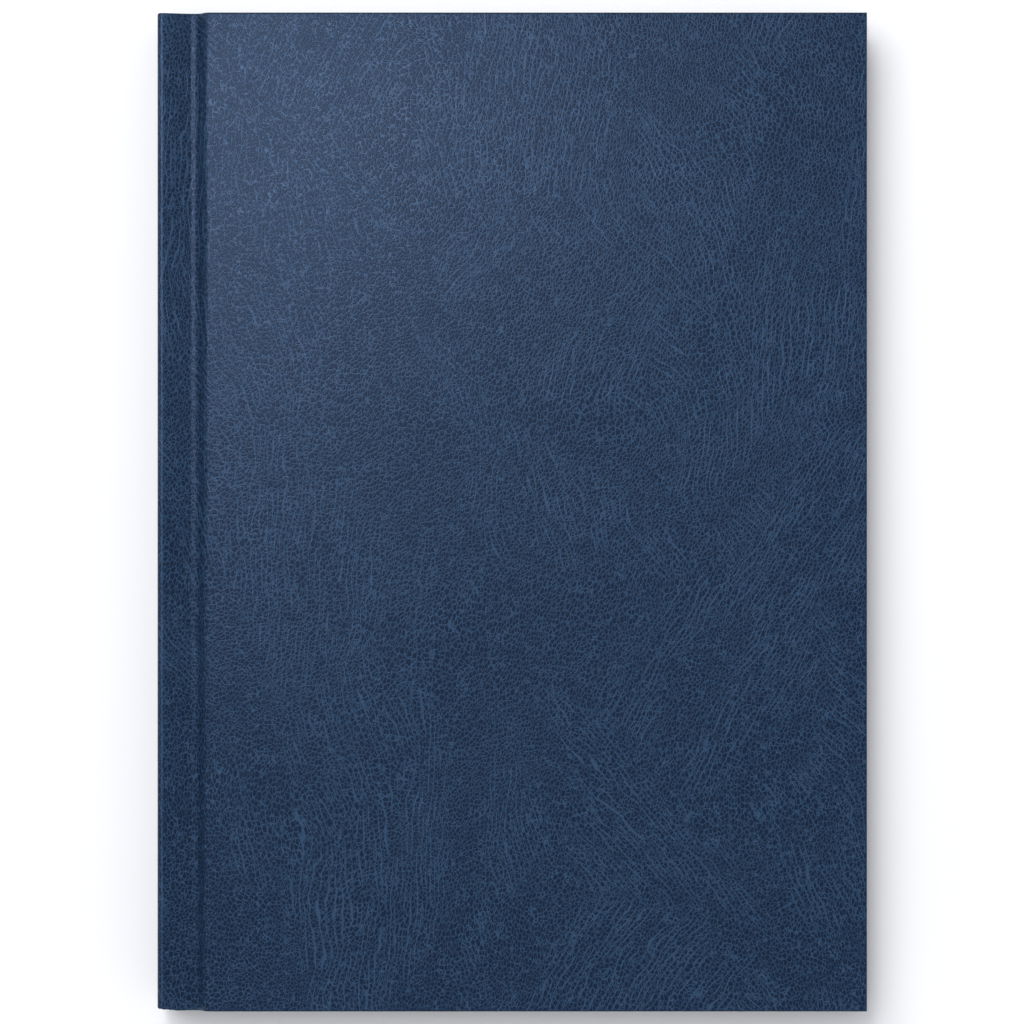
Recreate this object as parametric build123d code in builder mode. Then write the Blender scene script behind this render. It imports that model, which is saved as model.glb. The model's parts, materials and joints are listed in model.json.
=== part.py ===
"""A5 pilot logbook: a sewn text block in a hardback case with French grooves.

The closed book lies on its back cover. X runs from the spine to the fore edge, Y from
tail to head and Z from the table up to the front cover. The origin is the middle of the
footprint, on the table. Sizes are in millimetres.
"""

import os

from build123d import *

# Case
case_width = 153.5  # spine face to fore edge
case_height = 216.0
skin = 0.35  # leatherette
board = 2.4  # greyboard of a cover
board_round = 0.6  # outer edges and corners of a cover board, eased by the press
turn_in = 15.0  # leatherette folded to the inside of a board
pastedown = 0.15
square = 3.0  # cover beyond the pages at head, tail and fore edge
spine_board = 2.0
hollow = 0.3  # air behind the spine panel
spine_tail_setback = 0.45  # tail end of the spine panel, inside the boards

# Joint between spine panel and cover, measured from the spine face and the cover's face
board_start = 10.5  # near edge of the greyboard
ridge_drop = 0.6
ridge_wrap = 2.6  # leatherette of the joint, down the spine face
groove_wall = 1.9  # floor of the groove to the board
groove_floor = 1.4
joint_round = 1.0
joint_landing = 1.5  # leatherette of the joint, on the board

# Pages
leaf = 0.11
leaf_gap = 0.01
leaves_per_section = 8
section_count = 12
section_gap = 0.02
fold_round = 0.3
flyleaf = 0.15
cover_gap = 0.05
root_width = 9.5  # glued margin of the leaves that turn
root_gap = 0.2  # glued margin to the line that a leaf turns about
leaf_start = 1.0  # that line to the free part of the leaf

# Spine of the block
thread = 0.25
mull = 0.2
mull_inset = 19.0  # end of the pages to the mull
mull_reach = 18.0  # mull on the inside of a board
lining = 0.15
lining_gap = 2.4  # lining to the turn-ins of the spine
chain_count = 4
chain_inset = 36.0  # end of the pages to the first chain
chain_width = 0.9
band_round = 0.6  # half the thickness of the headband's bead
band_skirt = 11.0

# Worked out from the sizes above
cover = skin + board + skin + pastedown
inner_hinge = mull + pastedown
section = leaves_per_section * (leaf + leaf_gap)
pitch = section + section_gap
block = 2 * flyleaf + section_count * pitch + section_gap
thickness = 2 * (cover + cover_gap) + block
left = -case_width / 2
right = case_width / 2
half_height = case_height / 2
middle = Plane.XY.offset(thickness / 2)
board_left = left + board_start
block_right = right - square
page_height = case_height - 2 * square
joint_height = case_height - spine_tail_setback
mull_height = page_height - 2 * mull_inset
lining_height = joint_height - 2 * (skin + turn_in + lining_gap)
block_bottom = cover + cover_gap
board_top = skin + board
spine_board_left = left + skin
spine_board_right = spine_board_left + spine_board
lining_left = spine_board_right + hollow
mull_left = lining_left + lining
thread_left = mull_left + mull
block_left = thread_left + thread
gutter = block_left + root_width
groove_end = board_left - groove_wall
groove_start = groove_end - groove_floor
groove_depth = cover - inner_hinge - skin
slope = (groove_depth - ridge_drop) / (groove_start - left)

os.makedirs("parts", exist_ok=True)


def save(piece, name):
    """Labels one piece and writes its STEP file."""
    piece.label = name
    export_step(piece, f"parts/{name}.step")


def save_pair(piece, name):
    """Writes a piece of the back cover, and its mirror image in the front cover."""
    save(piece, f"back_{name}")
    save(mirror(piece, about=middle), f"front_{name}")


def sheet(x_low, x_high, height, z_low, z_high, y_mid=0.0):
    """A flat rectangular sheet between two X levels and two Z levels."""
    with BuildPart() as flat:
        with BuildSketch(Plane.XY.offset(z_low)):
            with Locations(((x_low + x_high) / 2, y_mid)):
                Rectangle(x_high - x_low, height)
        extrude(amount=z_high - z_low)
    return flat.part


# Greyboard of a cover
with BuildPart() as cover_board:
    with BuildSketch(Plane.XY.offset(skin)):
        with Locations(((board_left + right - skin) / 2, 0)):
            Rectangle(right - skin - board_left, case_height - 2 * skin)
    extrude(amount=board)
    corners = cover_board.edges().filter_by(Axis.Z)
    fillet(corners + cover_board.faces().sort_by(Axis.Z)[0].edges(), board_round)
save_pair(cover_board.part, "board")

# Leatherette of a cover: outer face, three edges and the turn-ins
skin_left = board_left + joint_landing
window_width = right - skin - turn_in - skin_left
window_height = case_height - 2 * (skin + turn_in)
with BuildPart() as cover_skin:
    with BuildSketch():
        with Locations(((board_left + right) / 2, 0)):
            Rectangle(right - board_left, case_height)
    extrude(amount=board_top + skin)
    corners = cover_skin.edges().filter_by(Axis.Z)
    fillet(corners + cover_skin.faces().sort_by(Axis.Z)[0].edges(), board_round + skin)
    split(bisect_by=Plane.YZ.offset(skin_left), keep=Keep.TOP)
    add(cover_board.part, mode=Mode.SUBTRACT)
    with BuildSketch(Plane.XY.offset(board_top)):
        with Locations((skin_left + window_width / 2, 0)):
            Rectangle(window_width, window_height)
    extrude(amount=skin, mode=Mode.SUBTRACT)
save_pair(cover_skin.part, "cover_skin")

# Leatherette across the joint: spine ridge, groove and edge of the board
joint_middle = spine_tail_setback / 2
with BuildPart() as joint_skin:
    with BuildSketch(Plane.XZ.offset(-half_height)):
        with BuildLine():
            FilletPolyline(
                (left, ridge_wrap),
                (left, ridge_drop),
                (groove_start, groove_depth),
                (groove_end, groove_depth),
                (board_left, 0),
                (skin_left, 0),
                radius=joint_round,
            )
            offset(amount=skin, side=Side.LEFT)
        make_face()
    extrude(amount=joint_height)
save_pair(joint_skin.part, "joint_skin")

# Mull and endpaper across the joint, and the layers inside a cover
flap_right = board_left + mull_reach
save_pair(sheet(mull_left, board_left, mull_height, cover - inner_hinge, cover), "inner_hinge")
save_pair(sheet(board_left, flap_right, mull_height, board_top, cover - pastedown), "mull_flap")
save_pair(
    sheet(flap_right, skin_left + window_width, window_height, board_top, cover - pastedown),
    "fill_in",
)
save_pair(
    sheet(board_left, right - square, page_height, cover - pastedown, cover), "pastedown"
)

# Spine panel: its board follows the underside of the joint's leatherette
ridge_inner = ridge_drop + skin * (slope + (1 + slope**2) ** 0.5)
panel_inner = ridge_inner + slope * spine_board
with BuildPart() as spine_panel:
    with BuildSketch(Plane.XZ.offset(skin - half_height)) as panel:
        with BuildLine():
            Polyline(
                (spine_board_left, ridge_inner),
                (spine_board_right, panel_inner),
                (spine_board_right, thickness - panel_inner),
                (spine_board_left, thickness - ridge_inner),
                close=True,
            )
        make_face()
        fillet(panel.vertices().group_by(Axis.X)[0], joint_round - skin)
    extrude(amount=joint_height - 2 * skin)
save(spine_panel.part, "spine_board")

# Leatherette of the spine: outer face, the ends and the turn-ins
with BuildPart() as spine_skin:
    with Locations((0, joint_middle, thickness / 2)):
        with Locations(((left + spine_board_right + skin) / 2, 0, 0)):
            Box(spine_board + 2 * skin, joint_height, thickness - 2 * ridge_wrap)
        with Locations(((spine_board_left + spine_board_right) / 2, 0, 0)):
            Box(spine_board, joint_height - 2 * skin, thickness, mode=Mode.SUBTRACT)
        with Locations((spine_board_right + skin / 2, 0, 0)):
            Box(skin, joint_height - 2 * (skin + turn_in), thickness, mode=Mode.SUBTRACT)
save(spine_skin.part, "spine_skin")

# Mull and paper lining on the block's spine
lining_low = block_bottom + fold_round
save(sheet(mull_left, thread_left, mull_height, cover, thickness - cover), "spine_mull")
save(
    sheet(lining_left, mull_left, lining_height, lining_low, thickness - lining_low),
    "spine_lining",
)

# Sewing: a chain of links at each station, one link across each pair of sections
sections_low = block_bottom + flyleaf + section_gap
chain_spacing = (page_height - 2 * chain_inset) / (chain_count - 1)
for station in range(chain_count):
    station_y = station * chain_spacing + chain_inset - page_height / 2
    with BuildPart() as chain:
        with BuildSketch(Plane.YZ.offset(thread_left)):
            for joint in range(1, section_count):
                with Locations((station_y, sections_low + joint * pitch)):
                    SlotOverall(1.6 * pitch, chain_width, rotation=90)
        extrude(amount=thread)
    save(chain.part, f"sewing_chain_{station + 1}")

# Headband and tailband: a bead on the end of the block and a skirt on its spine
band_x = thread_left + band_round - 0.2
for name, end in (("headband", 1), ("tailband", -1)):
    bead_y = end * (page_height / 2 + band_round)
    skirt_y = end * (page_height / 2 + (band_round - band_skirt) / 2)
    with BuildPart() as band:
        with BuildSketch(Plane.XY.offset(block_bottom)):
            with Locations((band_x, bead_y)):
                Circle(band_round)
            with Locations((thread_left + mull / 2, skirt_y)):
                Rectangle(mull, band_skirt + band_round)
        extrude(amount=block)
    save(band.part, name)

# Sections that stay closed: folded sheets with round backs
for number in range(2, section_count + 1):
    section_low = sections_low + (section_count - number) * pitch
    with BuildPart() as gathering:
        add(sheet(block_left, block_right, page_height, section_low, section_low + section))
        fillet(gathering.edges().filter_by(Axis.Y).group_by(Axis.X)[0], fold_round)
    save(gathering.part, f"section_{number:02d}")

# First section: its fold, and the leaves that turn
fold_low = sections_low + (section_count - 1) * pitch
root_right = gutter - root_gap
with BuildPart() as first_fold:
    add(sheet(block_left, root_right, page_height, fold_low, fold_low + section))
    fillet(first_fold.edges().filter_by(Axis.Y).group_by(Axis.X)[0], fold_round)
save(first_fold.part, "section_01_fold")
leaf_left = gutter + leaf_start
for number in range(1, leaves_per_section + 1):
    leaf_low = fold_low + section - number * (leaf + leaf_gap) + leaf_gap
    page = sheet(leaf_left, block_right, page_height, leaf_low, leaf_low + leaf)
    save(page, f"leaf_{number:02d}")

# Endpapers: the glued margin, and the flyleaf that turns
flyleaf_top = block_bottom + flyleaf
save_pair(sheet(block_left, root_right, page_height, block_bottom, flyleaf_top), "endpaper_root")
save_pair(sheet(leaf_left, block_right, page_height, block_bottom, flyleaf_top), "flyleaf")
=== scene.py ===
"""Looks of an A5 pilot logbook: leatherette case, endpapers, ruled leaves and bands.

Everything is in metres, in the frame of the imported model: X from the spine to the fore
edge, Y from tail to head, Z from the back cover up to the front cover.
"""

import json
import logging
import math
from collections.abc import Callable, Sequence
from dataclasses import dataclass, field
from enum import Enum

import bmesh
import bpy
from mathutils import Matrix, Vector


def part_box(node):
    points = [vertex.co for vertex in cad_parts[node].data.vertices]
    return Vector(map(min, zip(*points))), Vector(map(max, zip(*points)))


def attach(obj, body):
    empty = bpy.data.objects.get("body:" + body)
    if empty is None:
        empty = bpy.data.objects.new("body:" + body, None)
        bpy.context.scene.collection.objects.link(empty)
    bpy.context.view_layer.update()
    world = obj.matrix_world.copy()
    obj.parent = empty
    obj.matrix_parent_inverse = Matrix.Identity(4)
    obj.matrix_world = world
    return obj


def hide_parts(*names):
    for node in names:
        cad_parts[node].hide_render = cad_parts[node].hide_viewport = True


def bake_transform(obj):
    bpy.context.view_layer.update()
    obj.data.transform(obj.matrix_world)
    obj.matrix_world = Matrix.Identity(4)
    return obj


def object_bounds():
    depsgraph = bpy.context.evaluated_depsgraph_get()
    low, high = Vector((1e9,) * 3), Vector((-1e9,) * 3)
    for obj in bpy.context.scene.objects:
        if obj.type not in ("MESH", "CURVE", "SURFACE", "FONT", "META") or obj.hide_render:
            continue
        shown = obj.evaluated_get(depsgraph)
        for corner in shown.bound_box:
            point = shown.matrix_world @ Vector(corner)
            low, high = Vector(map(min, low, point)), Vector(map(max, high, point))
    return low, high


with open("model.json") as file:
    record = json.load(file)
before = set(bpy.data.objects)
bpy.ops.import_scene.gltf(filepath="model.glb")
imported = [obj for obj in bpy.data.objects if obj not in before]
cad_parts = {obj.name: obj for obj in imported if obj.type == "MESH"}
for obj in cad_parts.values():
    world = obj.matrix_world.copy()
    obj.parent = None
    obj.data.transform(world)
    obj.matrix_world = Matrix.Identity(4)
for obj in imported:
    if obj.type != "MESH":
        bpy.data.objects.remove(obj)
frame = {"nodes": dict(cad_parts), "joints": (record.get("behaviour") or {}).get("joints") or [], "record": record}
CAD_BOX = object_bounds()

LOG = logging.getLogger("logbook")
MM = 0.001
SAME = 0.001 * MM  # points closer than this are one point
NEAR = 0.01 * MM  # a point this near to a face is on it
SHARP = math.radians(60)  # from here up, two faces meet at an edge
SMOOTH = math.radians(40)  # up to here, two faces are shaded as one

Point = tuple[float, float]
Point3 = tuple[float, float, float]
Colour = tuple[float, float, float, float]


class Side(Enum):
    """The two halves of the case, which are mirror images."""

    FRONT = "front"
    BACK = "back"


class Space(Enum):
    """Where a pattern takes its place from."""

    OBJECT = "object"  # a rigid piece
    REST = "rest"  # a piece that bends: its place when the book is closed


# ---------------------------------------------------------------- shader maths


class Value:
    """A socket of a node tree, on which arithmetic adds Math nodes."""

    def __init__(self, net: "Net", socket: bpy.types.NodeSocket | None) -> None:
        """Wraps one output socket.

        Args:
            net: The node tree that the socket is in.
            socket: The output socket; None for a node that has none.
        """
        self.net = net
        self.socket = socket

    def math(self, operation: str, *others: "Value | float") -> "Value":
        """Adds a Math node with this value first.

        Args:
            operation: The Math node's operation.
            others: The other operands.

        Returns:
            The node's result.
        """
        operands = dict(enumerate((self, *others)))
        return self.net.node("ShaderNodeMath", {"operation": operation}, operands)

    def __add__(self, other: "Value | float") -> "Value":
        """Sum."""
        return self.math("ADD", other)

    def __sub__(self, other: "Value | float") -> "Value":
        """Difference."""
        return self.math("SUBTRACT", other)

    def __rsub__(self, other: float) -> "Value":
        """Difference, with the number first."""
        return self.net.node("ShaderNodeMath", {"operation": "SUBTRACT"}, {0: other, 1: self})

    def __mul__(self, other: "Value | float") -> "Value":
        """Product."""
        return self.math("MULTIPLY", other)

    def __truediv__(self, other: "Value | float") -> "Value":
        """Quotient."""
        return self.math("DIVIDE", other)

    __radd__ = __add__
    __rmul__ = __mul__

    def step(self, low: float, high: float) -> "Value":
        """Rises smoothly from 0 to 1, or falls where low is the larger.

        Args:
            low: Where the result is 0.
            high: Where the result is 1.

        Returns:
            The smoothed step.
        """
        settings = {"interpolation_type": "SMOOTHSTEP"}
        flip = low > high
        inputs = {"Value": self, "From Min": min(low, high), "From Max": max(low, high)}
        rise = self.net.node("ShaderNodeMapRange", settings, inputs)
        return 1.0 - rise if flip else rise

    def line(self, pitch: float, width: float, shift: float = 0.0) -> "Value":
        """Thin lines across a coordinate.

        Args:
            pitch: Distance from line to line.
            width: Width of a line.
            shift: Place of one of the lines.

        Returns:
            1 on the lines and 0 between them.
        """
        turn = ((self - shift) / pitch).math("FRACT")
        return (turn - 0.5).math("ABSOLUTE").step(0.5 - width / pitch, 0.5 - width / pitch / 3)


class Net:
    """A material's node tree, built by expressions."""

    def __init__(self, name: str) -> None:
        """Starts an empty material.

        Args:
            name: The material's name.
        """
        self.material = bpy.data.materials.new(name)
        self.material.use_nodes = True
        self.tree = self.material.node_tree
        self.tree.nodes.clear()

    def node(
        self,
        kind: str,
        settings: dict | None = None,
        inputs: dict | None = None,
        output: int | str = 0,
    ) -> Value:
        """Adds one node.

        Args:
            kind: The node's type.
            settings: Properties set before its sockets; "stops" fills a colour ramp.
            inputs: Values or links, by socket name or number.
            output: The socket that is returned.

        Returns:
            The chosen output.
        """
        made = self.tree.nodes.new(kind)
        for key, value in (settings or {}).items():
            if key != "stops":
                setattr(made, key, value)
                continue
            ramp = made.color_ramp.elements
            while len(ramp) < len(value):
                ramp.new(1.0)
            for element, (place, colour) in zip(ramp, value):
                element.position = place
                element.color = colour
        for key, value in (inputs or {}).items():
            if isinstance(value, Value):
                self.tree.links.new(value.socket, made.inputs[key])
            else:
                made.inputs[key].default_value = value
        return Value(self, made.outputs[output] if made.outputs else None)

    def place(self, space: Space) -> Value:
        """The point being shaded, in metres, at rest.

        Args:
            space: Where the pattern takes its place from.

        Returns:
            The place.
        """
        if space is Space.REST:
            settings = {"attribute_name": "rest"}
            return self.node("ShaderNodeAttribute", settings, output="Vector")
        return self.node("ShaderNodeTexCoord", output="Object")

    def axes(self, vector: Value) -> tuple[Value, Value, Value]:
        """Splits a vector into its three parts.

        Args:
            vector: The vector.

        Returns:
            Its X, Y and Z.
        """
        parts = vector.net.node("ShaderNodeSeparateXYZ", inputs={0: vector})
        outputs = parts.socket.node.outputs
        return tuple(Value(self, outputs[name]) for name in "XYZ")

    def turned(self, vector: Value, degrees: float, scale: Point3) -> Value:
        """Turns a pattern's space about Z and stretches it.

        Args:
            vector: The place.
            degrees: Turn about Z.
            scale: Pattern cells per metre along each axis after the turn.

        Returns:
            The place in the pattern's own space.
        """
        turn = {"Vector": vector, "Angle": math.radians(degrees)}
        spun = self.node("ShaderNodeVectorRotate", {"rotation_type": "Z_AXIS"}, turn)
        product = {"operation": "MULTIPLY"}
        return self.node("ShaderNodeVectorMath", product, {0: spun, 1: scale})

    def noise(self, vector: Value, scale: float, detail: float = 2.0) -> Value:
        """Smooth noise between 0 and 1, with its cells per metre."""
        inputs = {"Vector": vector, "Scale": scale, "Detail": detail}
        return self.node("ShaderNodeTexNoise", inputs=inputs)

    def warped(self, vector: Value, scale: float, reach: float) -> Value:
        """Shifts a place at random.

        Args:
            vector: The place.
            scale: Cells per metre of the shift.
            reach: How far it shifts, in metres.

        Returns:
            The shifted place.
        """
        inputs = {"Vector": vector, "Scale": scale, "Detail": 1.0}
        cloud = self.node("ShaderNodeTexNoise", inputs=inputs, output="Color")
        spread = {0: cloud, 1: (2 * reach,) * 3, 2: (-reach,) * 3}
        shift = self.node("ShaderNodeVectorMath", {"operation": "MULTIPLY_ADD"}, spread)
        return self.node("ShaderNodeVectorMath", {"operation": "ADD"}, {0: vector, 1: shift})

    def mix(self, factor: Value, low: "Value | Colour", high: "Value | Colour") -> Value:
        """Mixes two colours.

        Args:
            factor: Share of the second colour.
            low: Colour where the factor is 0.
            high: Colour where the factor is 1.

        Returns:
            The mixed colour.
        """
        settings = {"data_type": "RGBA"}
        return self.node("ShaderNodeMix", settings, {0: factor, 6: low, 7: high}, output=2)

    def finish(
        self,
        colour: "Value | Colour",
        rough: "Value | float",
        height: Value | None = None,
        relief: float = 0.0,
        **sockets: "float | Colour",
    ) -> bpy.types.Material:
        """Ends the material with its surface shader.

        Args:
            colour: Base colour.
            rough: Roughness.
            height: Relief between 0 and 1.
            relief: Depth of the relief, in metres.
            sockets: Other sockets that are the same all over, by name with underscores.

        Returns:
            The finished material.
        """
        inputs = {"Base Color": colour, "Roughness": rough}
        if height is not None:
            bump = {"Height": height, "Distance": relief, "Strength": 1.0}
            inputs["Normal"] = self.node("ShaderNodeBump", inputs=bump)
        for name, value in sockets.items():
            inputs[name.replace("_", " ")] = value
        shader = self.node("ShaderNodeBsdfPrincipled", inputs=inputs)
        self.node("ShaderNodeOutputMaterial", inputs={"Surface": shader})
        return self.material


# -------------------------------------------------------------------- finishes


@dataclass(frozen=True)
class Leatherette:
    """Embossed navy leatherette: a fine net of pale creases round dark pebbles."""

    reach_x: float  # half the book's width, height and thickness
    reach_y: float
    reach_z: float
    pebble: float = 0.76 * MM
    dark: Colour = (0.0044, 0.0128, 0.0320, 1.0)
    crease: Colour = (0.0340, 0.0720, 0.1360, 1.0)
    # colour of the painted shade on the board edges, where they turn away from the light
    painted_edge_shade: Colour = (0.0030, 0.0080, 0.0180, 1.0)
    gloss: Colour = (0.50, 0.65, 1.00, 1.0)
    relief: float = 0.035 * MM
    rim: float = 0.40 * MM  # width of the painted shade on the board edges
    ridge: float = 1.0 * MM  # spine face to the painted highlight along the ridge's top
    ridge_highlight_width: float = 0.34 * MM
    net_width: float = 0.115  # half a crease's width, in pebbles
    drift: float = 6.0 * MM  # how far the grain's flow strays
    spacing: float = 1.15 * MM  # long creases
    long_width: float = 0.17 * MM
    long_tone: float = 0.72
    border: float = 0.02  # half the overlap of two lays
    # Degrees of each lay of long creases, and the levels of noise between which it runs
    lays: tuple[Point3, ...] = (
        (4.0, 0.0, 0.47),
        (-18.0, 0.47, 0.57),
        (-40.0, 0.57, 0.67),
        (30.0, 0.67, 1.0),
    )

    def wrinkles(self, net: Net, place: Value) -> Value:
        """Long creases that run side by side in bundles.

        Args:
            net: The material.
            place: The place when the book is closed.

        Returns:
            1 along the creases.
        """
        total = None
        area = net.noise(place, 26.0, 0.0)
        for degrees, low, high in self.lays:
            across = net.axes(net.turned(place, degrees, (1.0, 1.0, 1.0)))[0]
            sway = net.noise(net.turned(place, degrees, (190.0, 75.0, 190.0)), 1.0, 2.0)
            bent = across + sway * (4.0 * self.spacing)
            lines = bent.line(self.spacing, self.long_width)
            bundles = net.noise(net.turned(place, degrees, (48.0, 17.0, 48.0)), 1.0, 1.0)
            worn = net.noise(net.turned(place, degrees, (500.0, 130.0, 500.0)), 1.0, 1.0)
            after = area.step(low - self.border, low + self.border)
            here = after * area.step(high + self.border, high - self.border)
            bundle = lines * bundles.step(0.42, 0.54) * worn.step(0.35, 0.51) * here
            bundle = bundle * self.long_tone
            total = bundle if total is None else total.math("MAXIMUM", bundle)
        return total

    def build(self) -> bpy.types.Material:
        """Makes the material.

        Returns:
            The material.
        """
        net = Net("leatherette")
        place = net.place(Space.REST)
        flow = net.warped(place, 28.0, self.drift)
        bent = net.warped(flow, 1.5 / self.pebble, 0.30 * self.pebble)
        grain = net.turned(bent, 8.0, (1.0, 0.72, 1.0))
        pebbles = {"Vector": grain, "Scale": 1.0 / self.pebble}
        cells = net.node("ShaderNodeTexVoronoi", {"feature": "DISTANCE_TO_EDGE"}, pebbles)
        net_lines = cells.step(self.net_width, 0.0)
        sweep = net.warped(place, 20.0, self.drift)
        sweep = net.warped(sweep, 1.5 / self.pebble, 0.30 * self.pebble)
        long_lines = self.wrinkles(net, sweep)
        worn = net.noise(flow, 260.0, 3.0).step(0.30, 0.70)
        creases = (net_lines * (0.60 + 0.30 * worn)).math("MAXIMUM", long_lines)
        colour = net.mix(creases, self.dark, self.crease)
        x, y, z = net.axes(place)
        # Painted highlight: a pale line along the rounded top of the spine ridge, where it catches the light; the
        # grain's noise varies its strength.
        ridge = (x + (self.reach_x - self.ridge)).math("ABSOLUTE").step(self.ridge_highlight_width, 0.0)
        colour = net.mix(ridge * (0.35 + 0.30 * worn), colour, self.crease)
        # Painted shade: the board edges darken near the outer faces, where they turn away from the light.
        rim_x = x.math("ABSOLUTE").step(self.reach_x - self.rim, self.reach_x - self.rim / 4)
        rim_y = y.math("ABSOLUTE").step(self.reach_y - self.rim, self.reach_y - self.rim / 4)
        low, high = self.reach_z - 3.5 * self.rim, self.reach_z - 1.5 * self.rim
        rim_z = (z - self.reach_z).math("ABSOLUTE").step(low, high)
        rims = rim_x.math("MAXIMUM", rim_y) * rim_z
        colour = net.mix(rims * 0.8, colour, self.painted_edge_shade)
        height = cells.step(0.0, 0.25) * 0.7 - long_lines * 0.5
        return net.finish(
            colour,
            0.34 - 0.08 * creases,
            height,
            self.relief,
            Specular_IOR_Level=0.20,
            Specular_Tint=self.gloss,
        )


@dataclass(frozen=True)
class Ruling:
    """A plain log table: a header band, even rows and columns of set widths."""

    left: float
    right: float
    tail: float
    head: float
    header: float = 14.0 * MM
    row: float = 7.5 * MM
    columns: tuple[float, ...] = (15, 32, 49, 66, 78, 90, 102, 114)
    rule: float = 0.16 * MM

    def ink(self, x: Value, y: Value) -> Value:
        """Draws the table.

        Args:
            x: Distance along the page, from the spine side.
            y: Distance along the page, from the tail side.

        Returns:
            1 on the rules, less on the header's tint, and 0 on bare paper.
        """
        soft = self.rule / 3
        inside_x = x.step(self.left - soft, self.left) * x.step(self.right + soft, self.right)
        inside_y = y.step(self.tail - soft, self.tail) * y.step(self.head + soft, self.head)
        inside = inside_x * inside_y
        top = self.head - self.header
        rows = y.line(self.row, self.rule, top) * y.step(top + soft, top)
        lines = rows.math("MAXIMUM", (y - top).math("ABSOLUTE").step(self.rule, soft))
        for column in self.columns:
            rule = (x - (self.left + column * MM)).math("ABSOLUTE").step(self.rule, soft)
            lines = lines.math("MAXIMUM", rule)
        for edge in (self.left, self.right):
            lines = lines.math("MAXIMUM", (x - edge).math("ABSOLUTE").step(2 * self.rule, soft))
        for edge in (self.tail, self.head):
            lines = lines.math("MAXIMUM", (y - edge).math("ABSOLUTE").step(2 * self.rule, soft))
        tint = y.step(top - soft, top) * 0.16
        return inside * lines.math("MAXIMUM", tint)


@dataclass(frozen=True)
class Paper:
    """Uncoated paper: faint fibres and clouds, and rules where a page has them."""

    name: str
    tone: Colour
    shade: Colour
    space: Space
    ruling: Ruling | None = None
    ink: Colour = (0.105, 0.200, 0.330, 1.0)
    sheet: float = 0.12 * MM

    def build(self) -> bpy.types.Material:
        """Makes the material.

        Returns:
            The material.
        """
        net = Net(self.name)
        place = net.place(self.space)
        fibres = net.noise(net.turned(place, 25.0, (1.0, 2.2, 1.0)), 900.0, 4.0)
        cloud = net.noise(place, 35.0, 3.0)
        colour = net.mix(fibres * 0.5 + cloud * 0.4, self.tone, self.shade)
        layers = net.turned(place, 0.0, (20.0, 20.0, 0.9 / self.sheet))
        edge = net.noise(layers, 1.0, 1.0).step(0.36, 0.60)
        if self.space is Space.OBJECT:
            # Painted shade in the gaps between the sheets, on the upright faces of the block's edges.
            normal = net.node("ShaderNodeTexCoord", output="Normal")
            upright = net.axes(normal)[2].math("ABSOLUTE").step(0.8, 0.4)
            painted_gap_shade = tuple(0.62 * part for part in self.shade[:3]) + (1.0,)
            colour = net.mix(upright * (1.0 - edge) * 0.6, colour, painted_gap_shade)
            height = fibres * 0.25 + upright * edge
        else:
            height = fibres * 0.25
        if self.ruling is not None:
            x, y, _ = net.axes(place)
            colour = net.mix(self.ruling.ink(x, y) * 0.75, colour, self.ink)
        return net.finish(colour, 0.82 - 0.08 * fibres, height, 0.03 * MM)


@dataclass(frozen=True)
class Weave:
    """Plain weave of two sets of threads, open enough to show what lies under it."""

    name: str
    pitch: float
    tone: Colour
    gap: Colour

    def build(self) -> bpy.types.Material:
        """Makes the material.

        Returns:
            The material.
        """
        net = Net(self.name)
        place = net.warped(net.place(Space.OBJECT), 400.0, 0.1 * self.pitch)
        x, y, z = net.axes(place)
        warp = (y * (2 * math.pi / self.pitch)).math("SINE")
        weft = ((x + z) * (2 * math.pi / self.pitch)).math("SINE")
        height = warp.math("MAXIMUM", weft) * 0.5 + 0.5
        worn = net.noise(place, 500.0, 3.0)
        colour = net.mix(height.step(0.35, 0.8) * (0.8 + 0.2 * worn), self.gap, self.tone)
        return net.finish(colour, 0.85 - 0.1 * worn, height, 0.08 * MM)


@dataclass(frozen=True)
class Board:
    """Matte board or kraft paper with flecks of fibre."""

    name: str
    tone: Colour
    fleck: Colour

    def build(self) -> bpy.types.Material:
        """Makes the material.

        Returns:
            The material.
        """
        net = Net(self.name)
        place = net.place(Space.OBJECT)
        flecks = net.noise(net.turned(place, 40.0, (1.0, 3.0, 1.0)), 650.0, 5.0)
        colour = net.mix(flecks.step(0.40, 0.66), self.tone, self.fleck)
        return net.finish(colour, 0.88 - 0.08 * flecks, flecks, 0.05 * MM)


@dataclass(frozen=True)
class Stripes:
    """Sewn band: threads wound round a core, in two colours by turns, on plain cloth."""

    name: str
    end: float
    stripe: float
    thread: float
    dark: Colour
    light: Colour

    def build(self) -> bpy.types.Material:
        """Makes the material.

        Returns:
            The material.
        """
        net = Net(self.name)
        place = net.warped(net.place(Space.OBJECT), 900.0, 0.05 * MM)
        _, y, z = net.axes(place)
        core = y.math("ABSOLUTE").step(self.end - 0.1 * MM, self.end)
        turns = (z * (2 * math.pi / self.stripe)).math("SINE").step(-0.12, 0.12)
        strand = (z * (2 * math.pi / self.thread)).math("SINE") * 0.5 + 0.5
        worn = net.noise(place, 800.0, 3.0)
        pale = turns.math("MAXIMUM", 1.0 - core)
        colour = net.mix(pale * (0.85 + 0.15 * worn), self.dark, self.light)
        return net.finish(colour, 0.62 - 0.12 * strand, strand, 0.08 * MM, Sheen_Weight=0.3)


# ------------------------------------------------------------------- modelling


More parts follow.
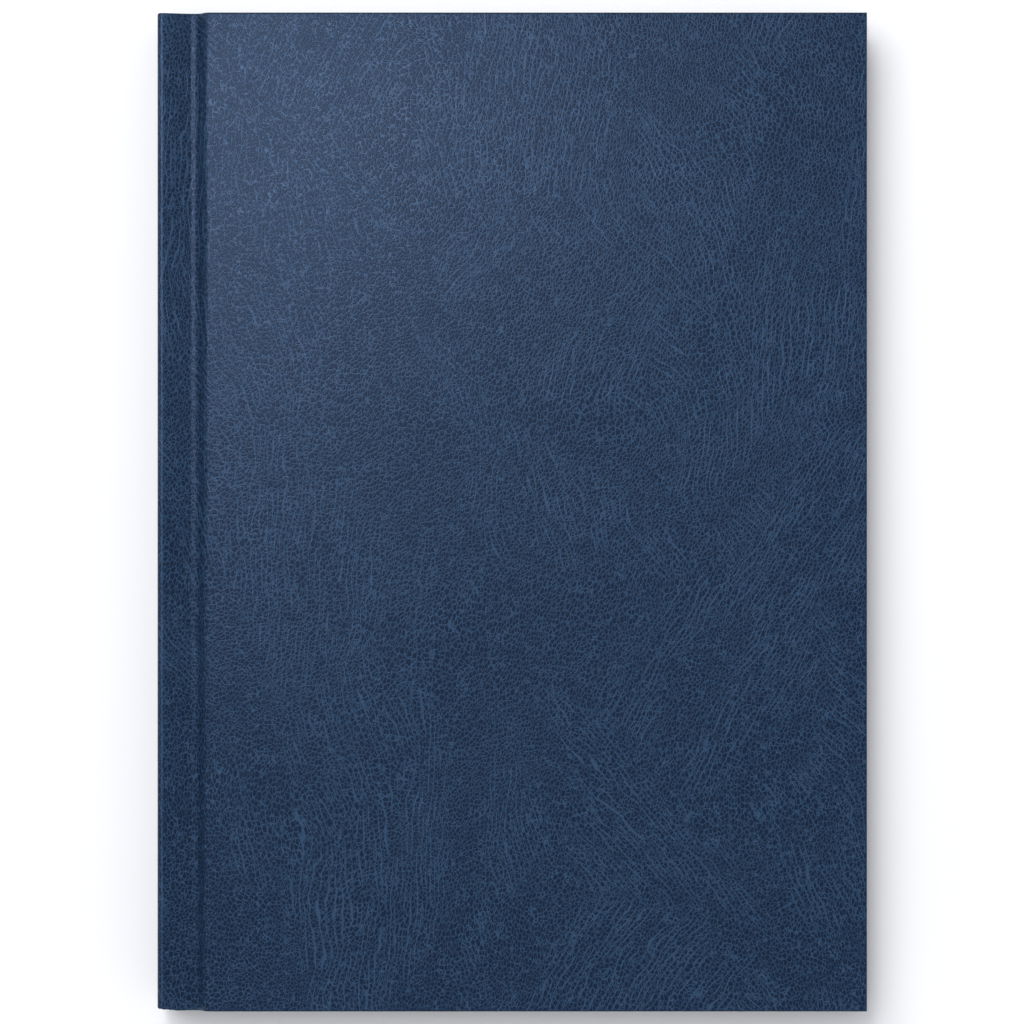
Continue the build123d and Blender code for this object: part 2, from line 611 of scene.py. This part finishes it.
class Bench:
    """Modelling steps that the sub-assemblies share, each one an operator."""

    @staticmethod
    def clear() -> None:
        """Leaves edit mode and deselects everything."""
        if bpy.context.object is not None and bpy.context.object.mode != "OBJECT":
            bpy.ops.object.mode_set(mode="OBJECT")
        bpy.ops.object.select_all(action="DESELECT")

    @staticmethod
    def edit(piece: bpy.types.Object, kind: str) -> None:
        """Opens a piece in edit mode with nothing selected.

        Args:
            piece: The piece.
            kind: "VERT", "EDGE" or "FACE".
        """
        if bpy.context.object is not piece or piece.mode != "EDIT":
            Bench.clear()
            piece.select_set(True)
            bpy.context.view_layer.objects.active = piece
            bpy.ops.object.mode_set(mode="EDIT")
        bpy.ops.mesh.select_mode(type=kind)
        bpy.ops.mesh.select_all(action="DESELECT")

    @staticmethod
    def pick(piece: bpy.types.Object, kind: str, wanted: Callable[..., bool]) -> int:
        """Selects parts of a mesh by their place.

        Args:
            piece: The piece.
            kind: "VERT", "EDGE" or "FACE".
            wanted: Takes a vertex, edge or face and says whether it is selected.

        Returns:
            How many are selected.
        """
        Bench.edit(piece, kind)
        mesh = bmesh.from_edit_mesh(piece.data)
        group = {"VERT": mesh.verts, "EDGE": mesh.edges, "FACE": mesh.faces}[kind]
        chosen = [part for part in group if wanted(part)]
        for part in chosen:
            part.select_set(True)
        mesh.select_flush_mode()
        bmesh.update_edit_mesh(piece.data)
        return len(chosen)

    @staticmethod
    def sweep(name: str, outline: Sequence[Point], low: float, high: float) -> bpy.types.Object:
        """Draws an edge along Y through the points of an outline in XZ.

        Args:
            name: Name of the piece.
            outline: The points, in order.
            low: Y of the tail end.
            high: Y of the head end.

        Returns:
            The open surface, in edit mode.
        """
        Bench.clear()
        bpy.ops.mesh.primitive_plane_add(size=1.0)
        piece = bpy.context.object
        piece.name = name
        Bench.pick(piece, "VERT", lambda vert: vert.co.x > 0)
        bpy.ops.mesh.delete(type="VERT")
        Bench.pick(piece, "VERT", lambda vert: True)
        first_x, first_z = outline[0]
        bpy.ops.transform.translate(value=(0.5, 0, 0))
        bpy.ops.transform.resize(value=(1, high - low, 1), center_override=(0, 0, 0))
        bpy.ops.transform.translate(value=(first_x, (low + high) / 2, first_z))
        bpy.ops.mesh.select_mode(type="EDGE")
        bpy.ops.mesh.select_all(action="SELECT")
        for (x_1, z_1), (x_2, z_2) in zip(outline, outline[1:]):
            shift = {"value": (x_2 - x_1, 0, z_2 - z_1)}
            bpy.ops.mesh.extrude_region_move(TRANSFORM_OT_translate=shift)
        return piece

    @staticmethod
    def thicken(piece: bpy.types.Object, thickness: float, even: bool = True) -> None:
        """Turns a surface into a sheet, inwards from where it is.

        Args:
            piece: The surface, whose faces point outwards.
            thickness: Thickness of the sheet.
            even: Keeps the thickness at corners, which many small faces upset.
        """
        Bench.clear()
        bpy.context.view_layer.objects.active = piece
        piece.select_set(True)
        sheet = piece.modifiers.new("thickness", "SOLIDIFY")
        sheet.thickness = thickness
        sheet.offset = -1.0
        sheet.use_even_offset = even
        bpy.ops.object.modifier_apply(modifier=sheet.name)

    @staticmethod
    def done(piece: bpy.types.Object, slot: str, finish: bpy.types.Material) -> None:
        """Smooths a finished piece, gives it its finish and keeps its place at rest.

        Args:
            piece: The piece.
            slot: The record's material slot; not used.
            finish: Its material.
        """
        Bench.clear()
        bpy.context.view_layer.objects.active = piece
        piece.select_set(True)
        bpy.ops.object.shade_smooth_by_angle(angle=SMOOTH)
        piece.data.materials.clear()
        piece.data.materials.append(finish)
        rest = piece.data.attributes.new("rest", "FLOAT_VECTOR", "POINT")
        for vert in piece.data.vertices:
            rest.data[vert.index].vector = vert.co
        piece.select_set(False)
        LOG.info("%s: %d faces", piece.name, len(piece.data.polygons))

    @staticmethod
    def mirrored(piece: bpy.types.Object, name: str, height: float) -> bpy.types.Object:
        """Copies a piece upside down, from the front cover to the back cover.

        Args:
            piece: The piece, with its mesh finished.
            name: Name of the copy.
            height: Thickness of the book.

        Returns:
            The copy.
        """
        Bench.clear()
        piece.select_set(True)
        bpy.context.view_layer.objects.active = piece
        bpy.ops.object.duplicate()
        copy = bpy.context.object
        copy.name = name
        Bench.pick(copy, "VERT", lambda vert: True)
        middle = (0, 0, height / 2)
        bpy.ops.transform.mirror(constraint_axis=(False, False, True), center_override=middle)
        bpy.ops.mesh.normals_make_consistent(inside=False)
        Bench.clear()
        return copy


def arc(centre: Point, radius: float, start: float, end: float, steps: int) -> list[Point]:
    """Points on an arc.

    Args:
        centre: Its centre.
        radius: Its radius.
        start: First angle, in degrees.
        end: Last angle, in degrees.
        steps: Number of chords.

    Returns:
        The points, both ends among them.
    """
    turns = [math.radians(start + (end - start) * step / steps) for step in range(steps + 1)]
    return [(centre[0] + radius * math.cos(a), centre[1] + radius * math.sin(a)) for a in turns]


def run(start: Point, end: Point, steps: int) -> list[Point]:
    """Points on a straight run.

    Args:
        start: Where it starts; this point is left out.
        end: Where it ends.
        steps: Number of equal parts.

    Returns:
        The points.
    """
    parts = [step / steps for step in range(1, steps + 1)]
    return [
        (start[0] + (end[0] - start[0]) * part, start[1] + (end[1] - start[1]) * part)
        for part in parts
    ]


def rounded(corners: Sequence[Point], radii: Sequence[float], steps: int) -> list[Point]:
    """Rounds the inner corners of an outline.

    Args:
        corners: The outline's corners.
        radii: Radius of each corner but the two ends.
        steps: Chords in each.

    Returns:
        The outline with an arc at each corner but its ends.
    """
    outline = [corners[0]]
    for before, corner, after, radius in zip(corners, corners[1:], corners[2:], radii):
        into = (Vector(before) - Vector(corner)).normalized()
        out = (Vector(after) - Vector(corner)).normalized()
        half = into.angle(out) / 2
        middle = Vector(corner) + (into + out).normalized() * (radius / math.sin(half))
        first = Vector(corner) + into * (radius / math.tan(half)) - middle
        last = Vector(corner) + out * (radius / math.tan(half)) - middle
        start = math.degrees(math.atan2(first.y, first.x))
        turn = math.degrees(math.atan2(last.y, last.x)) - start
        turn = (turn + 180) % 360 - 180
        outline += arc(tuple(middle), radius, start, start + turn, steps)
    return outline + [corners[-1]]


# ---------------------------------------------------------------- sub-assemblies


@dataclass
class Layout:
    """Levels and edges that the pieces share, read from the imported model."""

    thickness: float = field(init=False)
    spine: float = field(init=False)
    fore: float = field(init=False)
    head: float = field(init=False)
    tail: float = field(init=False)
    board_left: float = field(init=False)
    turn_in_face: float = field(init=False)
    panel_right: float = field(init=False)
    block_left: float = field(init=False)
    page_right: float = field(init=False)
    page_head: float = field(init=False)

    def __post_init__(self) -> None:
        """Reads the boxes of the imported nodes."""
        low, high = CAD_BOX
        self.thickness = high.z
        self.spine, self.fore = low.x, high.x
        self.tail, self.head = low.y, high.y
        self.board_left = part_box("front_board")[0].x
        self.turn_in_face = high.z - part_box("front_pastedown")[1].z
        self.panel_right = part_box("spine_skin")[1].x
        self.block_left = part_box("section_02")[0].x
        self.page_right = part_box("section_02")[1].x
        self.page_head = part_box("section_02")[1].y


@dataclass
class Case:
    """Leatherette of the case, in two halves that meet behind the spine panel."""

    layout: Layout
    sheet: float = 0.26 * MM
    ridge_drop: float = 0.6 * MM
    groove_depth: float = 2.55 * MM
    groove_floor: float = 1.4 * MM
    groove_wall: float = 1.9 * MM
    fold: float = 1.0 * MM
    groove_fold: float = 1.5 * MM
    edge: float = 0.42 * MM
    inner_fold: float = 0.1 * MM
    turn_in: float = 15.0 * MM
    tail_setback: float = 0.45 * MM
    setback_reach: float = 1.2 * MM  # width of one step of the setback
    setback_steps: int = 3
    bend_pitch: float = 0.6 * MM  # length of a face where the leatherette bends
    corner_steps: int = 6
    hinge_steps: int = 14
    edge_steps: int = 4
    blend_end: float = 0.25 * MM  # last of the bend, before the board

    def outline(self) -> list[Point]:
        """Section of the front half, from behind the spine panel to the fore edge and back.

        Returns:
            Its points.
        """
        book = self.layout
        top, middle = book.thickness, book.thickness / 2
        groove_end = book.board_left - self.groove_wall
        corners = [
            (book.spine, middle),
            (book.spine, top - self.ridge_drop),
            (groove_end - self.groove_floor, top - self.groove_depth),
            (groove_end, top - self.groove_depth),
            (book.board_left, top),
            (book.fore, top),
        ]
        radii = (self.fold, self.groove_fold, self.groove_fold, self.groove_fold)
        outer = self.divided(rounded(corners, radii, self.corner_steps))
        inner = run((book.fore, top), (book.fore, self.inner_top()), 1)
        inner += run(inner[-1], (book.board_left, self.inner_top()), 1)
        inner += run(inner[-1], (book.panel_right, self.inner_top()), self.hinge_steps)
        inner += run(inner[-1], (book.panel_right, middle), 2)
        return outer + inner

    def divided(self, outline: Sequence[Point]) -> list[Point]:
        """Divides the runs between ridge and board, where the leatherette bends.

        Args:
            outline: The outer face's section, from the spine to the fore edge.

        Returns:
            The outline with points added.
        """
        book = self.layout
        result = [outline[0]]
        for before, after in zip(outline, outline[1:]):
            bends = after[0] < book.board_left + self.fold and before[0] > book.spine
            parts = max(1, round(math.dist(before, after) / self.bend_pitch))
            result += run(before, after, parts if bends else 1)
        return result

    def front(self) -> bpy.types.Object:
        """Models the front half.

        Returns:
            The finished mesh.
        """
        book = self.layout
        piece = Bench.sweep("front_leatherette", self.outline(), book.tail, book.head)
        for end in (book.tail, book.head):
            Bench.pick(piece, "EDGE", lambda e: all(abs(v.co.y - end) < SAME for v in e.verts))
            bpy.ops.mesh.edge_face_add()
        Bench.pick(piece, "FACE", lambda face: True)
        bpy.ops.mesh.normals_make_consistent(inside=False)
        self.soften(piece)
        self.open_inside(piece)
        self.set_back(piece)
        Bench.thicken(piece, self.sheet, even=False)
        return piece

    def on_rim(self, edge: bmesh.types.BMEdge) -> bool:
        """Whether an edge is where the outer face turns over a board's edge.

        Args:
            edge: An edge of the case.

        Returns:
            True on the rims at the head, tail and fore edge.
        """
        book = self.layout
        if len(edge.link_faces) != 2 or edge.calc_face_angle() < SHARP:
            return False
        middle = (edge.verts[0].co + edge.verts[1].co) / 2
        at_end = min(middle.y - book.tail, book.head - middle.y) < NEAR
        along = abs(edge.verts[0].co.y - edge.verts[1].co.y) < SAME
        if along and at_end:
            inner_skin = middle.z < self.inner_top() + NEAR and middle.x > book.spine + NEAR
            return not inner_skin and middle.x < book.fore - NEAR
        return middle.x > book.fore - NEAR and middle.z > self.inner_top() + NEAR

    def inner_top(self) -> float:
        """Level of the turn-ins' face, inside the front cover."""
        return self.layout.thickness - self.layout.turn_in_face

    def on_fold(self, edge: bmesh.types.BMEdge) -> bool:
        """Whether an edge is where a turn-in starts, on the inside of a board.

        Args:
            edge: An edge of the case.

        Returns:
            True on such an edge.
        """
        if len(edge.link_faces) != 2 or edge.calc_face_angle() < SHARP:
            return False
        return all(abs(vert.co.z - self.inner_top()) < SAME for vert in edge.verts)

    def soften(self, piece: bpy.types.Object) -> None:
        """Rounds the outer edges, the corners at the fore edge and the folds inside.

        Args:
            piece: The case's front half, closed and with sharp edges.
        """
        rims = {"segments": self.edge_steps, "clamp_overlap": False}
        folds = {"segments": self.edge_steps // 2, "clamp_overlap": True}
        Bench.pick(piece, "EDGE", self.on_rim)
        bpy.ops.mesh.bevel(offset=self.edge, affect="EDGES", **rims)
        Bench.pick(piece, "EDGE", self.on_fold)
        bpy.ops.mesh.bevel(offset=self.inner_fold, affect="EDGES", **folds)
        Bench.pick(piece, "VERT", lambda vert: True)
        bpy.ops.mesh.remove_doubles(threshold=4 * SAME)

    def on_inside(self, face: bmesh.types.BMFace) -> bool:
        """Whether a face is on the inside of a board or of the spine panel.

        Args:
            face: A face of the case.

        Returns:
            True on the inside.
        """
        centre = face.calc_center_median()
        flat = face.normal.z < -0.9 and abs(centre.z - self.inner_top()) < NEAR
        behind = face.normal.x > 0.9 and abs(centre.x - self.layout.panel_right) < NEAR
        return flat or behind

    def open_inside(self, piece: bpy.types.Object) -> None:
        """Cuts the turn-ins to their width and takes out what they frame.

        Args:
            piece: The case's front half, with its edges rounded.
        """
        book = self.layout
        head, tail = book.head - self.turn_in, book.tail + self.turn_in
        fore = book.fore - self.turn_in
        cuts = [((0, head, 0), (0, 1, 0)), ((0, tail, 0), (0, 1, 0)), ((fore, 0, 0), (1, 0, 0))]
        for place, across in cuts:
            Bench.pick(piece, "FACE", self.on_inside)
            bpy.ops.mesh.bisect(plane_co=place, plane_no=across)

        def framed(face: bmesh.types.BMFace) -> bool:
            """Whether a face is within the turn-ins.

            Args:
                face: A face of the case.

            Returns:
                True on what is taken out.
            """
            centre = face.calc_center_median()
            return self.on_inside(face) and tail < centre.y < head and centre.x < fore

        Bench.pick(piece, "FACE", framed)
        bpy.ops.mesh.delete(type="FACE")

    def set_back(self, piece: bpy.types.Object) -> None:
        """Shortens the spine at its tail, in steps that fade towards the groove.

        Args:
            piece: The case's front half, open on the inside.
        """
        book = self.layout
        top = book.tail + self.setback_reach
        for step in range(1, self.setback_steps + 1):
            reach = book.spine + self.setback_reach * step
            Bench.pick(piece, "VERT", lambda v: v.co.x < reach and v.co.y < top)
            shift = self.tail_setback / self.setback_steps
            bpy.ops.transform.translate(value=(0, shift, 0))

    def build(self) -> None:
        """Builds both halves and hides the imported skins that they stand for."""
        book = self.layout
        material = Leatherette(book.fore, book.head, book.thickness / 2).build()
        front = self.front()
        back = Bench.mirrored(front, "back_leatherette", book.thickness)
        for side, piece in ((Side.FRONT, front), (Side.BACK, back)):
            Bench.done(piece, "leatherette", material)
            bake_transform(piece)
            nodes = [f"{side.value}_cover_skin", f"{side.value}_joint_skin"]
            if side is Side.FRONT:
                nodes.append("spine_skin")
            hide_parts(*nodes)


@dataclass
class Endpapers:
    """Paper glued inside each cover, which runs on across the joint to the block."""

    layout: Layout
    sheet: float = 0.13 * MM
    joint_steps: int = 16

    def front(self) -> bpy.types.Object:
        """Models the sheet of the front cover.

        Returns:
            The finished mesh.
        """
        book = self.layout
        level = book.thickness - book.turn_in_face
        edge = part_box("front_pastedown")[1].x
        outline = [(edge, level)] + run((edge, level), (book.board_left, level), 4)
        outline += run(outline[-1], (book.block_left, level), self.joint_steps)
        piece = Bench.sweep("front_endpaper", outline, -book.page_head, book.page_head)
        Bench.pick(piece, "FACE", lambda face: True)
        bpy.ops.mesh.normals_make_consistent(inside=False)
        self.face_up(piece)
        Bench.thicken(piece, self.sheet)
        return piece

    @staticmethod
    def face_up(piece: bpy.types.Object) -> None:
        """Turns an open sheet's faces upwards, so that it thickens downwards.

        Args:
            piece: The sheet, in edit mode.
        """
        mesh = bmesh.from_edit_mesh(piece.data)
        if sum(face.normal.z for face in mesh.faces) < 0:
            bpy.ops.mesh.flip_normals()

    def build(self, paper: bpy.types.Material) -> None:
        """Builds both sheets.

        Args:
            paper: The endpaper's finish for pieces that bend.
        """
        book = self.layout
        front = self.front()
        back = Bench.mirrored(front, "back_endpaper", book.thickness)
        for side, piece in ((Side.FRONT, front), (Side.BACK, back)):
            Bench.done(piece, "endpaper", paper)
            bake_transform(piece)
            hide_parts(f"{side.value}_pastedown", f"{side.value}_inner_hinge")


@dataclass
class Leaves:
    """Flyleaves and ruled leaves, each one flat sheet with more faces where it leaves the fold."""

    layout: Layout
    count: int = 8
    bend: float = 9.0 * MM
    bend_steps: int = 14
    flat_steps: int = 5

    def sheet(self, name: str, node: str, left: float, thickness: float) -> bpy.types.Object:
        """Models one leaf where its node is.

        Args:
            name: Name of the piece.
            node: The node that it stands for.
            left: Where its sheet starts, on the spine side.
            thickness: Thickness of the sheet.

        Returns:
            The finished mesh.
        """
        book = self.layout
        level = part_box(node)[1].z
        axis = self.axis()
        outline = [(left, level)] + run((left, level), (axis, level), 2)
        outline += run(outline[-1], (axis + self.bend, level), self.bend_steps)
        outline += run(outline[-1], (book.page_right, level), self.flat_steps)
        piece = Bench.sweep(name, outline, -book.page_head, book.page_head)
        Endpapers.face_up(piece)
        Bench.thicken(piece, thickness)
        return piece

    def axis(self) -> float:
        """Looks up the line that the leaves turn about.

        Returns:
            Its X.
        """
        for joint in frame["joints"]:
            if joint["name"] == "leaf_01_hinge":
                return joint["pos_m"][0]
        raise ValueError("the packed model has no leaf hinge")

    def build(self, page: bpy.types.Material, endpaper: bpy.types.Material) -> None:
        """Builds the flyleaves and the leaves of the first section.

        Args:
            page: Ruled paper for leaves.
            endpaper: Plain paper for flyleaves.
        """
        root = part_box("section_01_fold")[1].x
        plans = [(f"leaf_{n:02d}", root, page, "page_paper") for n in range(1, self.count + 1)]
        for side in Side:
            plans.append((f"{side.value}_flyleaf", root, endpaper, "endpaper"))
        for node, left, material, slot in plans:
            low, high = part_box(node)
            piece = self.sheet(f"{node}_sheet", node, left, high.z - low.z)
            Bench.done(piece, slot, material)
            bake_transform(piece)
            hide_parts(node)


@dataclass
class Bands:
    """Headband and tailband: a core wound with thread, on a cloth skirt."""

    wraps: int = 26
    sides: int = 20
    depth: float = 0.10 * MM
    skirt_inset: float = 0.20 * MM
    skirt: float = 0.16 * MM

    def bead(self, node: str, outward: float) -> bpy.types.Object:
        """Models the wound core of one band.

        Args:
            node: "headband" or "tailband".
            outward: 1 at the head, -1 at the tail.

        Returns:
            The core, with a groove between its wraps.
        """
        low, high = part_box(node)
        radius = (high.x - low.x) / 2
        end = high.y if outward > 0 else low.y
        middle = ((low.x + high.x) / 2, end - outward * radius, (low.z + high.z) / 2)
        size = {"vertices": self.sides, "radius": radius, "depth": high.z - low.z}
        Bench.clear()
        bpy.ops.mesh.primitive_cylinder_add(location=middle, end_fill_type="NGON", **size)
        piece = bpy.context.object
        piece.name = f"{node}_wound"
        bpy.ops.object.transform_apply(location=True, rotation=True, scale=True)
        cuts = 2 * self.wraps
        Bench.pick(piece, "EDGE", lambda e: abs(e.verts[0].co.z - e.verts[1].co.z) > NEAR)
        bpy.ops.mesh.subdivide_edgering(number_cuts=cuts - 1, interpolation="LINEAR")
        pitch = (high.z - low.z) / cuts
        Bench.pick(piece, "VERT", lambda v: round((v.co.z - low.z) / pitch) % 2 == 0)
        shrink = 1.0 - self.depth / radius
        bpy.ops.transform.resize(value=(shrink, shrink, 1), center_override=middle)
        return piece

    def cloth(self, node: str, outward: float) -> bpy.types.Object:
        """Models the skirt, which is glued to the spine of the block.

        Args:
            node: "headband" or "tailband".
            outward: 1 at the head, -1 at the tail.

        Returns:
            The skirt, which reaches into the core.
        """
        low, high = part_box(node)
        back = low.x + self.skirt_inset
        tail, head = low.y, high.y
        if outward > 0:
            head -= (high.x - low.x) / 2
        else:
            tail += (high.x - low.x) / 2
        piece = Bench.sweep(f"{node}_skirt", [(back, low.z), (back, high.z)], tail, head)
        mesh = bmesh.from_edit_mesh(piece.data)
        if sum(face.normal.x for face in mesh.faces) > 0:
            bpy.ops.mesh.flip_normals()
        Bench.thicken(piece, self.skirt)
        return piece

    def build(self, material: bpy.types.Material) -> None:
        """Builds both bands.

        Args:
            material: Their striped finish.
        """
        for node, outward in (("headband", 1.0), ("tailband", -1.0)):
            cloth = self.cloth(node, outward)
            piece = self.bead(node, outward)
            Bench.clear()
            cloth.select_set(True)
            piece.select_set(True)
            bpy.context.view_layer.objects.active = piece
            bpy.ops.object.join()
            Bench.done(piece, "headband", material)
            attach(piece, "text_block")
            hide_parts(node)


@dataclass(frozen=True)
class Lamp:
    """A square area light that faces the book."""

    name: str
    place: Point3
    size: float
    power: float  # watts

    def build(self) -> None:
        """Hangs the light."""
        lamp = bpy.data.lights.new(self.name, "AREA")
        lamp.size = self.size
        lamp.energy = self.power
        stand = bpy.data.objects.new(self.name, lamp)
        stand.location = self.place
        stand.rotation_euler = (-Vector(self.place)).to_track_quat("-Z", "Y").to_euler()
        bpy.context.scene.collection.objects.link(stand)


@dataclass
class Studio:
    """Camera, floor and soft lights."""

    distance: float = 1.0  # camera to the top face
    spread: float = 0.2213  # width of the view at the top face
    sensor: float = 36.0
    floor_size: float = 24.0
    floor_drop: float = 0.1 * MM  # clear of the lowest face
    floor_tone: Colour = (0.86, 0.86, 0.87, 1.0)
    room_tone: Colour = (0.93, 0.95, 1.0, 1.0)
    room_strength: float = 0.66
    lamps: tuple[Lamp, ...] = (
        Lamp("key", (-0.45, 0.55, 1.60), 1.00, 18.0),
        Lamp("sheen", (-0.17, 0.47, 1.40), 0.22, 3.5),
    )

    def floor(self) -> None:
        """Lays the floor."""
        Bench.clear()
        bpy.ops.mesh.primitive_plane_add(size=self.floor_size, location=(0, 0, -self.floor_drop))
        floor = bpy.context.object
        floor.name = "floor"
        floor.data.materials.append(Net("pale_floor").finish(self.floor_tone, 0.9))

    def room(self) -> None:
        """Lights the book from all sides and from the lamps."""
        for lamp in self.lamps:
            lamp.build()
        world = bpy.data.worlds.new("soft_room")
        world.use_nodes = True
        tone, strength = world.node_tree.nodes["Background"].inputs[:2]
        tone.default_value = self.room_tone
        strength.default_value = self.room_strength
        bpy.context.scene.world = world

    def camera(self, height: float) -> None:
        """Points the camera straight down.

        Args:
            height: Level of the book's top face.
        """
        lens = bpy.data.cameras.new("camera")
        lens.sensor_width = self.sensor
        lens.lens = self.sensor * self.distance / self.spread
        camera = bpy.data.objects.new("camera", lens)
        camera.location = (0, 0, height + self.distance)
        bpy.context.scene.collection.objects.link(camera)
        bpy.context.scene.camera = camera
        bpy.context.scene.view_settings.view_transform = "Standard"

    def build(self, layout: Layout) -> None:
        """Builds the studio.

        Args:
            layout: The book's levels.
        """
        self.floor()
        self.room()
        self.camera(layout.thickness)


@dataclass
class Carried:
    """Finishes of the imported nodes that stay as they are."""

    plain: dict[str, bpy.types.Material]

    def build(self) -> None:
        """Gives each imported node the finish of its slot."""
        slots = {part["node"]: part["material_slot"] for part in frame["record"]["subparts"]}
        for name, node in frame["nodes"].items():
            material = self.plain.get(slots[name])
            if material is not None:
                node.data.materials.clear()
                node.data.materials.append(material)


def main() -> None:
    """Builds the logbook's looks in order."""
    logging.basicConfig(level=logging.INFO, format="%(message)s")
    layout = Layout()
    margin = 8.0 * MM
    ruling = Ruling(
        left=layout.block_left + 2.5 * margin,
        right=layout.page_right - margin,
        tail=-layout.page_head + margin,
        head=layout.page_head - margin,
    )
    page_tone, page_shade = (0.80, 0.78, 0.71, 1.0), (0.70, 0.67, 0.59, 1.0)
    cream, cream_shade = (0.77, 0.73, 0.62, 1.0), (0.66, 0.61, 0.50, 1.0)
    page = Paper("ruled_page", page_tone, page_shade, Space.REST, ruling).build()
    block = Paper("page_block", page_tone, page_shade, Space.OBJECT, ruling).build()
    endpaper = Paper("endpaper", cream, cream_shade, Space.REST).build()
    endpaper_root = Paper("endpaper_root", cream, cream_shade, Space.OBJECT).build()
    stripes = Stripes(
        "wound_band",
        end=layout.page_head,
        stripe=2.0 * MM,
        thread=0.46 * MM,
        dark=(0.035, 0.075, 0.17, 1),
        light=(0.78, 0.77, 0.72, 1),
    ).build()
    cloth = (0.74, 0.70, 0.60, 1)
    plain = {
        "greyboard": Board("greyboard", (0.30, 0.29, 0.27, 1), (0.16, 0.15, 0.14, 1)).build(),
        "kraft_paper": Board("kraft", (0.40, 0.27, 0.15, 1), (0.27, 0.17, 0.09, 1)).build(),
        "mull": Weave("mull", 0.9 * MM, cloth, (0.35, 0.30, 0.22, 1)).build(),
        "thread": Weave("thread", 0.35 * MM, cloth, (0.50, 0.47, 0.40, 1)).build(),
        "headband": stripes,
        "endpaper": endpaper_root,
        "page_paper": block,
    }
    Case(layout).build()
    Endpapers(layout).build(endpaper)
    Leaves(layout).build(page, endpaper)
    Bands().build(stripes)
    Carried(plain).build()
    Studio().build(layout)


if __name__ == "__main__":
    main()
